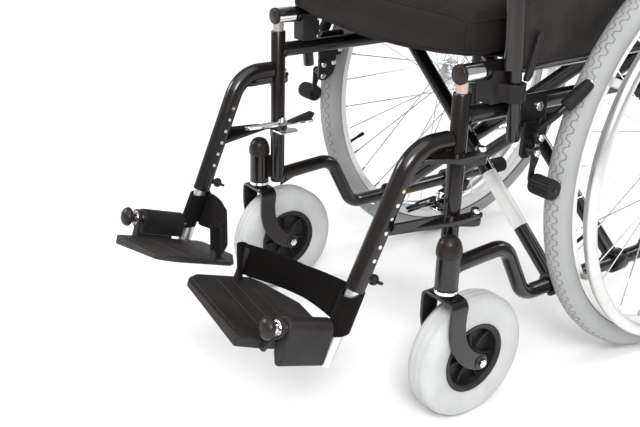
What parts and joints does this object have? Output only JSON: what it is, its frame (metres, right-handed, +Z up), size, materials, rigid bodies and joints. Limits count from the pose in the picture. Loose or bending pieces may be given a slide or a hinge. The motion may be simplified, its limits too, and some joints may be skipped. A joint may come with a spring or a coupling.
{
  "type": "manual wheelchair",
  "caption": "Folding manual wheelchair with swing-away footrests, lift-out armrests, parking brakes, swivel casters and a cross brace under a sling seat.",
  "frame": {"origin": "on the floor, under the middle of the chair's box", "axes": "+X to the occupant's left, -Y forwards, +Z up"},
  "size_m": [0.588, 1.0236, 0.931],
  "materials": {
    "frame": "dark brown-black gloss powder coat",
    "black_steel": "black coated steel",
    "chrome": "bright plated",
    "aluminium": "satin",
    "handrim": "satin anodised",
    "rim": "light silver",
    "tyre": "matte grey tread",
    "caster_rubber": "light grey solid rubber",
    "grip": "black, ribbed",
    "plastic": "black moulded",
    "plate_plastic": "dark grey-brown moulded",
    "nylon": "black woven nylon",
    "webbing": "black webbing",
    "pad": "black coated foam"
  },
  "bodies": {
    "frame_left": {"side_frame_left": "frame", "push_grip_left": "grip", "tipping_tip_left": "grip", "rail_receiver_left": "plastic", "brake_plate_left": "black_steel", "backrest": "nylon"},
    "frame_right": {"side_frame_right": "frame", "push_grip_right": "grip", "tipping_tip_right": "grip", "rail_receiver_right": "plastic", "brake_plate_right": "black_steel"},
    "brace_a": {"cross_bar_a": "frame", "cross_pivot": "chrome"},
    "brace_b": {"cross_bar_b": "frame"},
    "seat_left": {"seat_guide_left": "chrome", "seat_sling": "nylon", "seat_cushion": "nylon"},
    "seat_right": {"seat_guide_right": "chrome"},
    "wheel_left": {"rear_tyre_left": "tyre", "rear_wheel_left": "rim", "handrim_left": "handrim"},
    "caster_swivel_left": {"caster_fork_left": "frame"},
    "caster_left": {"caster_tyre_left": "caster_rubber", "caster_hub_left": "plastic"},
    "footrest_left": {"hanger_left": "frame"},
    "footrest_latch_left": {"hanger_latch_left": "black_steel"},
    "leg_left": {"leg_extension_left": "aluminium", "foot_cover_left": "plastic"},
    "foot_left": {"footplate_left": "plate_plastic", "heel_strap_left": "webbing"},
    "screw_left": {"height_screw_left": "plastic"},
    "brake_lever_left": {"brake_lever_left": "black_steel", "brake_grip_left": "grip"},
    "brake_arm_left": {"brake_arm_left": "black_steel", "brake_roller_left": "grip"},
    "armrest_left": {"armrest_frame_left": "frame", "armrest_pad_left": "pad", "side_panel_left": "plate_plastic"},
    "armrest_latch_left": {"armrest_latch_left": "plastic"},
    "wheel_right": {"rear_tyre_right": "tyre", "rear_wheel_right": "rim", "handrim_right": "handrim"},
    "caster_swivel_right": {"caster_fork_right": "frame"},
    "caster_right": {"caster_tyre_right": "caster_rubber", "caster_hub_right": "plastic"},
    "footrest_right": {"hanger_right": "frame"},
    "footrest_latch_right": {"hanger_latch_right": "black_steel"},
    "leg_right": {"leg_extension_right": "aluminium", "foot_cover_right": "plastic"},
    "foot_right": {"footplate_right": "plate_plastic", "heel_strap_right": "webbing"},
    "screw_right": {"height_screw_right": "plastic"},
    "brake_lever_right": {"brake_lever_right": "black_steel", "brake_grip_right": "grip"},
    "brake_arm_right": {"brake_arm_right": "black_steel", "brake_roller_right": "grip"},
    "armrest_right": {"armrest_frame_right": "frame", "armrest_pad_right": "pad", "side_panel_right": "plate_plastic"},
    "armrest_latch_right": {"armrest_latch_right": "plastic"}
  },
  "joints": [
    {"name": "fold", "type": "hinge", "parent": "frame_left", "child": "brace_a", "pos_m": [0.198, -0.21824, 0.128], "axis": [0, 1, 0], "range_deg": [0, 37], "deforming": ["seat_sling", "seat_cushion", "backrest"]},
    {"name": "brace_cross", "type": "hinge", "parent": "brace_a", "child": "brace_b", "pos_m": [0, -0.21824, 0.29375], "axis": [0, 1, 0], "range_deg": [-74.5, 0]},
    {"name": "brace_foot", "type": "hinge", "parent": "brace_b", "child": "frame_right", "pos_m": [-0.198, -0.21824, 0.128], "axis": [0, 1, 0], "range_deg": [0, 37.5]},
    {"name": "seat_rail_left", "type": "hinge", "parent": "brace_b", "child": "seat_left", "pos_m": [0.198, -0.21824, 0.4595], "axis": [0, 1, 0], "range_deg": [0, 37.5]},
    {"name": "seat_rail_right", "type": "hinge", "parent": "brace_a", "child": "seat_right", "pos_m": [-0.198, -0.21824, 0.4595], "axis": [0, 1, 0], "range_deg": [-37.5, 0]},
    {"name": "wheel_spin_left", "type": "hinge", "parent": "frame_left", "child": "wheel_left", "pos_m": [0.248, 0.20676, 0.305], "axis": [1, 0, 0], "continuous": true},
    {"name": "caster_turn_left", "type": "hinge", "parent": "frame_left", "child": "caster_swivel_left", "pos_m": [0.22, -0.23824, 0.19], "axis": [0, 0, 1], "continuous": true},
    {"name": "caster_spin_left", "type": "hinge", "parent": "caster_swivel_left", "child": "caster_left", "pos_m": [0.22, -0.19324, 0.087], "axis": [1, 0, 0], "continuous": true},
    {"name": "footrest_swing_left", "type": "hinge", "parent": "frame_left", "child": "footrest_left", "pos_m": [0.217, -0.19724, 0.32], "axis": [0, 0, 1], "range_deg": [0, 95]},
    {"name": "footrest_release_left", "type": "hinge", "parent": "frame_left", "child": "footrest_latch_left", "pos_m": [0.18, -0.22224, 0.298], "axis": [0, 0, 1], "range_deg": [0, 12], "stiffness_Nm_per_rad": 0.5},
    {"name": "leg_length_left", "type": "slide", "parent": "footrest_left", "child": "leg_left", "axis": [-0.0336, -0.4065, -0.913], "range_m": [-0.018, 0.071]},
    {"name": "footplate_flip_left", "type": "hinge", "parent": "leg_left", "child": "foot_left", "pos_m": [0.1876, -0.48754, 0.201], "axis": [0, 0.9489, -0.3156], "range_deg": [0, 89], "deforming": ["heel_strap_left"]},
    {"name": "screw_turn_left", "type": "hinge", "parent": "footrest_left", "child": "screw_left", "pos_m": [0.19026, -0.34108, 0.224], "axis": [0, 0.9135, -0.4067], "continuous": true},
    {"name": "brake_lever_push_left", "type": "hinge", "parent": "frame_left", "child": "brake_lever_left", "pos_m": [0.231, -0.11224, 0.374], "axis": [1, 0, 0], "range_deg": [0, 60]},
    {"name": "brake_arm_swing_left", "type": "hinge", "parent": "frame_left", "child": "brake_arm_left", "pos_m": [0.235, -0.12024, 0.356], "axis": [1, 0, 0], "range_deg": [0, 8.2]},
    {"name": "armrest_lift_left", "type": "slide", "parent": "frame_left", "child": "armrest_left", "axis": [0, -0.1045, 0.9945], "range_m": [0, 0.07]},
    {"name": "armrest_release_left", "type": "hinge", "parent": "armrest_left", "child": "armrest_latch_left", "pos_m": [0.223, -0.14024, 0.452], "axis": [1, 0, 0], "range_deg": [0, 18], "stiffness_Nm_per_rad": 0.3},
    {"name": "wheel_spin_right", "type": "hinge", "parent": "frame_right", "child": "wheel_right", "pos_m": [-0.248, 0.20676, 0.305], "axis": [1, 0, 0], "continuous": true},
    {"name": "caster_turn_right", "type": "hinge", "parent": "frame_right", "child": "caster_swivel_right", "pos_m": [-0.22, -0.23824, 0.19], "axis": [0, 0, 1], "continuous": true},
    {"name": "caster_spin_right", "type": "hinge", "parent": "caster_swivel_right", "child": "caster_right", "pos_m": [-0.22, -0.19324, 0.087], "axis": [1, 0, 0], "continuous": true},
    {"name": "footrest_swing_right", "type": "hinge", "parent": "frame_right", "child": "footrest_right", "pos_m": [-0.217, -0.19724, 0.32], "axis": [0, 0, -1], "range_deg": [0, 95]},
    {"name": "footrest_release_right", "type": "hinge", "parent": "frame_right", "child": "footrest_latch_right", "pos_m": [-0.18, -0.22224, 0.298], "axis": [0, 0, -1], "range_deg": [0, 12], "stiffness_Nm_per_rad": 0.5},
    {"name": "leg_length_right", "type": "slide", "parent": "footrest_right", "child": "leg_right", "axis": [0.0336, -0.4065, -0.913], "range_m": [-0.018, 0.071]},
    {"name": "footplate_flip_right", "type": "hinge", "parent": "leg_right", "child": "foot_right", "pos_m": [-0.1876, -0.48754, 0.201], "axis": [0, -0.9489, 0.3156], "range_deg": [0, 89], "deforming": ["heel_strap_right"]},
    {"name": "screw_turn_right", "type": "hinge", "parent": "footrest_right", "child": "screw_right", "pos_m": [-0.19026, -0.34108, 0.224], "axis": [0, 0.9135, -0.4067], "continuous": true},
    {"name": "brake_lever_push_right", "type": "hinge", "parent": "frame_right", "child": "brake_lever_right", "pos_m": [-0.231, -0.11224, 0.374], "axis": [1, 0, 0], "range_deg": [0, 60]},
    {"name": "brake_arm_swing_right", "type": "hinge", "parent": "frame_right", "child": "brake_arm_right", "pos_m": [-0.235, -0.12024, 0.356], "axis": [1, 0, 0], "range_deg": [0, 8.2]},
    {"name": "armrest_lift_right", "type": "slide", "parent": "frame_right", "child": "armrest_right", "axis": [0, -0.1045, 0.9945], "range_m": [0, 0.07]},
    {"name": "armrest_release_right", "type": "hinge", "parent": "armrest_right", "child": "armrest_latch_right", "pos_m": [-0.223, -0.14024, 0.452], "axis": [1, 0, 0], "range_deg": [0, 18], "stiffness_Nm_per_rad": 0.3}
  ],
  "couplings": [
    {"joint": "brace_cross", "follows": "fold", "ratio": -2},
    {"joint": "brace_foot", "follows": "fold", "ratio": 1},
    {"joint": "seat_rail_left", "follows": "fold", "ratio": 1},
    {"joint": "seat_rail_right", "follows": "fold", "ratio": -1},
    {"joint": "footplate_flip_left", "follows": "fold", "ratio": 2.4},
    {"joint": "brake_arm_swing_left", "follows": "brake_lever_push_left", "ratio": 0.1333},
    {"joint": "footplate_flip_right", "follows": "fold", "ratio": 2.4},
    {"joint": "brake_arm_swing_right", "follows": "brake_lever_push_right", "ratio": 0.1333}
  ]
}
